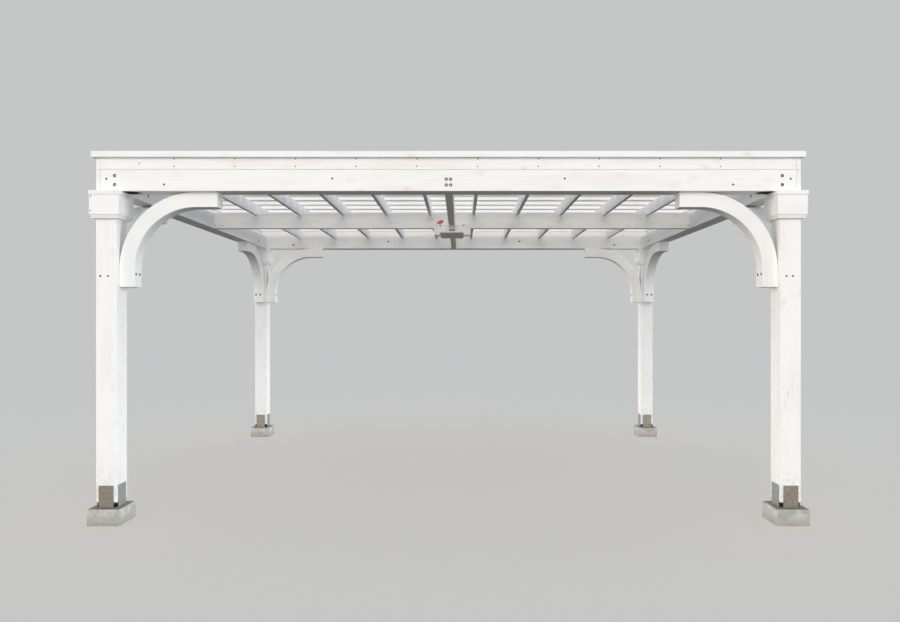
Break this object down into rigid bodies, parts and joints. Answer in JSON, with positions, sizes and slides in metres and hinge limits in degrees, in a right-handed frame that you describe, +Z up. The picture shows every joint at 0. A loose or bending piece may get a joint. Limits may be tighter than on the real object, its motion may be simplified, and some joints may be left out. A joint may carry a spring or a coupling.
{
  "type": "pergola",
  "caption": "White painted timber pergola with square posts on steel bases, boxed capitals, curved braces and a flat roof of rafters and slats.",
  "frame": {"origin": "centre of the four posts in plan, at ground level under the piers", "axes": "+X to the right along the long side, +Y from the front side to the rear side, +Z up"},
  "size_m": [6.635, 4.975, 3.443],
  "materials": {
    "painted_timber": "satin",
    "painted_roof_timber": "satin",
    "galvanised_steel": "matte",
    "concrete": "matte"
  },
  "bodies": {
    "root": {"beam_centre_front": "painted_timber", "beam_centre_rear": "painted_timber", "beam_front": "painted_timber", "beam_left": "painted_timber", "beam_middle": "painted_timber", "beam_rear": "painted_timber", "beam_right": "painted_timber", "brace_cross_front_left": "painted_timber", "brace_cross_front_right": "painted_timber", "brace_cross_rear_left": "painted_timber", "brace_cross_rear_right": "painted_timber", "brace_side_front_left": "painted_timber", "brace_side_front_right": "painted_timber", "brace_side_rear_left": "painted_timber", "brace_side_rear_right": "painted_timber", "cap_front": "painted_timber", "cap_left": "painted_timber", "cap_rear": "painted_timber", "cap_right": "painted_timber", "capital_front_left": "painted_timber", "capital_front_right": "painted_timber", "capital_rear_left": "painted_timber", "capital_rear_right": "painted_timber", "centre_hangers": "painted_timber", "face_board_left": "painted_timber", "face_board_right": "painted_timber", "fascia_front": "painted_timber", "fascia_left": "painted_timber", "fascia_rear": "painted_timber", "fascia_right": "painted_timber", "mount_board_front": "painted_timber", "mount_board_rear": "painted_timber", "mount_plate": "painted_timber", "piers": "concrete", "post_base_front_left": "galvanised_steel", "post_base_front_right": "galvanised_steel", "post_base_rear_left": "galvanised_steel", "post_base_rear_right": "galvanised_steel", "post_front_left": "painted_timber", "post_front_right": "painted_timber", "post_rear_left": "painted_timber", "post_rear_right": "painted_timber", "rafters": "painted_roof_timber", "slats": "painted_roof_timber"}
  },
  "joints": []
}
